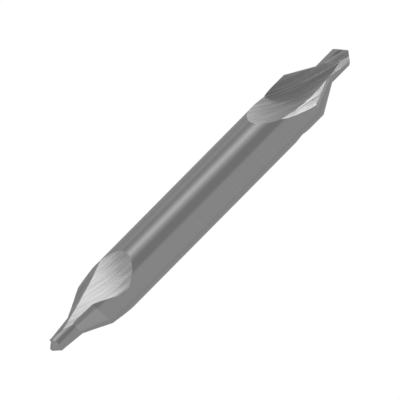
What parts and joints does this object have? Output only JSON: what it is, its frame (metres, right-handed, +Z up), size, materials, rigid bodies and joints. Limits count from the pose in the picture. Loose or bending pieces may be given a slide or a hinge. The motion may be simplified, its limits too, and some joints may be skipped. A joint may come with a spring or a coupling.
{
  "type": "centre drill",
  "caption": "Double-ended centre drill: a plain round steel body with a short fluted pilot drill and a sixty degree countersink ground on each end.",
  "frame": {"origin": "on the drill's axis, half way between its two points", "axes": "+X along the drill's axis towards the first end, +Z up from the drill as it lies in the picture's view"},
  "size_m": [0.047, 0.0062, 0.0062],
  "materials": {
    "ground_steel": "ground high-speed steel, bright, with fine grinding marks in the flutes"
  },
  "bodies": {
    "root": {"centre_drill": "ground_steel"}
  },
  "joints": []
}
